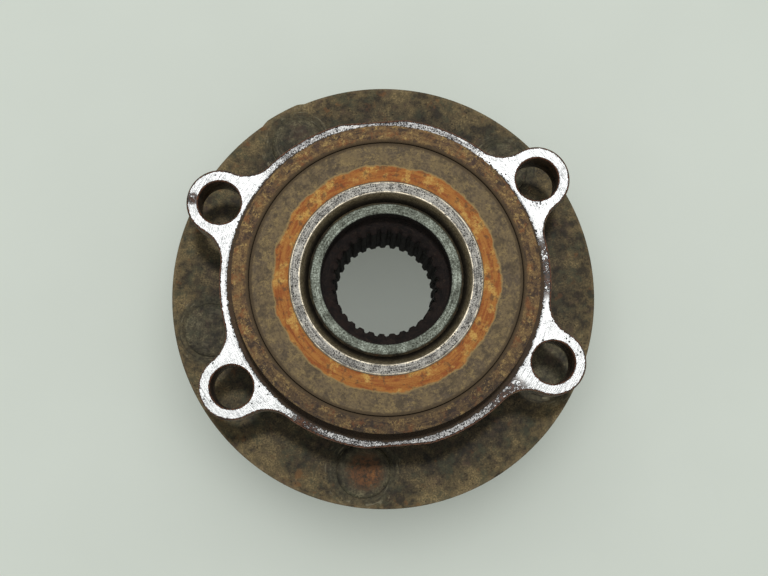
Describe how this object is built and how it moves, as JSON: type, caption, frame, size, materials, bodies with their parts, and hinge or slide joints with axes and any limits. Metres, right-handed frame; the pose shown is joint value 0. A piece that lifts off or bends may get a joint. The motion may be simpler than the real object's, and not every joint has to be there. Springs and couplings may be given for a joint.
{
  "type": "wheel hub bearing",
  "caption": "Flanged wheel hub bearing: an eared outer ring bolts to the knuckle and a splined hub with a studded flange turns in it on two rows of balls.",
  "frame": {"origin": "centre of the wheel mounting face, on the bearing axis", "axes": "+Z along the axis from the wheel towards the knuckle and drive shaft, X and Y along the long and short sides of the rectangle of knuckle bolts"},
  "size_m": [0.138, 0.138, 0.0992],
  "materials": {
    "forged_ring_steel": "rusty forging with machined mounting faces",
    "forged_hub_steel": "dull brown oxide",
    "ground_ring_steel": "ground, rusted outside its contact land",
    "ball_steel": "polished",
    "stud_steel": "dull brown oxide",
    "seal_case_steel": "thin pressed sheet",
    "seal_rubber": "matt",
    "encoder_rubber": "matt, dusted grey-brown",
    "cage_plastic": "moulded, natural"
  },
  "bodies": {
    "outer_ring": {"outer_ring": "forged_ring_steel", "inboard_seal_case": "seal_case_steel", "inboard_seal_lip": "seal_rubber", "outboard_seal_case": "seal_case_steel", "outboard_seal_lip": "seal_rubber"},
    "hub": {"hub": "forged_hub_steel", "inner_ring": "ground_ring_steel", "inboard_flinger": "seal_case_steel", "encoder_ring": "encoder_rubber", "wheel_stud_1": "stud_steel", "wheel_stud_2": "stud_steel", "wheel_stud_3": "stud_steel", "wheel_stud_4": "stud_steel", "wheel_stud_5": "stud_steel"},
    "outboard_cage": {"outboard_cage": "cage_plastic", "outboard_ball_01": "ball_steel", "outboard_ball_02": "ball_steel", "outboard_ball_03": "ball_steel", "outboard_ball_04": "ball_steel", "outboard_ball_05": "ball_steel", "outboard_ball_06": "ball_steel", "outboard_ball_07": "ball_steel", "outboard_ball_08": "ball_steel", "outboard_ball_09": "ball_steel", "outboard_ball_10": "ball_steel", "outboard_ball_11": "ball_steel", "outboard_ball_12": "ball_steel", "outboard_ball_13": "ball_steel", "outboard_ball_14": "ball_steel"},
    "inboard_cage": {"inboard_cage": "cage_plastic", "inboard_ball_01": "ball_steel", "inboard_ball_02": "ball_steel", "inboard_ball_03": "ball_steel", "inboard_ball_04": "ball_steel", "inboard_ball_05": "ball_steel", "inboard_ball_06": "ball_steel", "inboard_ball_07": "ball_steel", "inboard_ball_08": "ball_steel", "inboard_ball_09": "ball_steel", "inboard_ball_10": "ball_steel", "inboard_ball_11": "ball_steel", "inboard_ball_12": "ball_steel", "inboard_ball_13": "ball_steel", "inboard_ball_14": "ball_steel"}
  },
  "joints": [
    {"name": "hub_spin", "type": "hinge", "parent": "outer_ring", "child": "hub", "pos_m": [0, 0, 0], "axis": [0, 0, 1], "continuous": true},
    {"name": "outboard_cage_spin", "type": "hinge", "parent": "outer_ring", "child": "outboard_cage", "pos_m": [0, 0, 0.026], "axis": [0, 0, 1], "continuous": true},
    {"name": "inboard_cage_spin", "type": "hinge", "parent": "outer_ring", "child": "inboard_cage", "pos_m": [0, 0, 0.051], "axis": [0, 0, 1], "continuous": true}
  ],
  "couplings": [
    {"joint": "outboard_cage_spin", "follows": "hub_spin", "ratio": 0.4312},
    {"joint": "inboard_cage_spin", "follows": "hub_spin", "ratio": 0.4312}
  ]
}
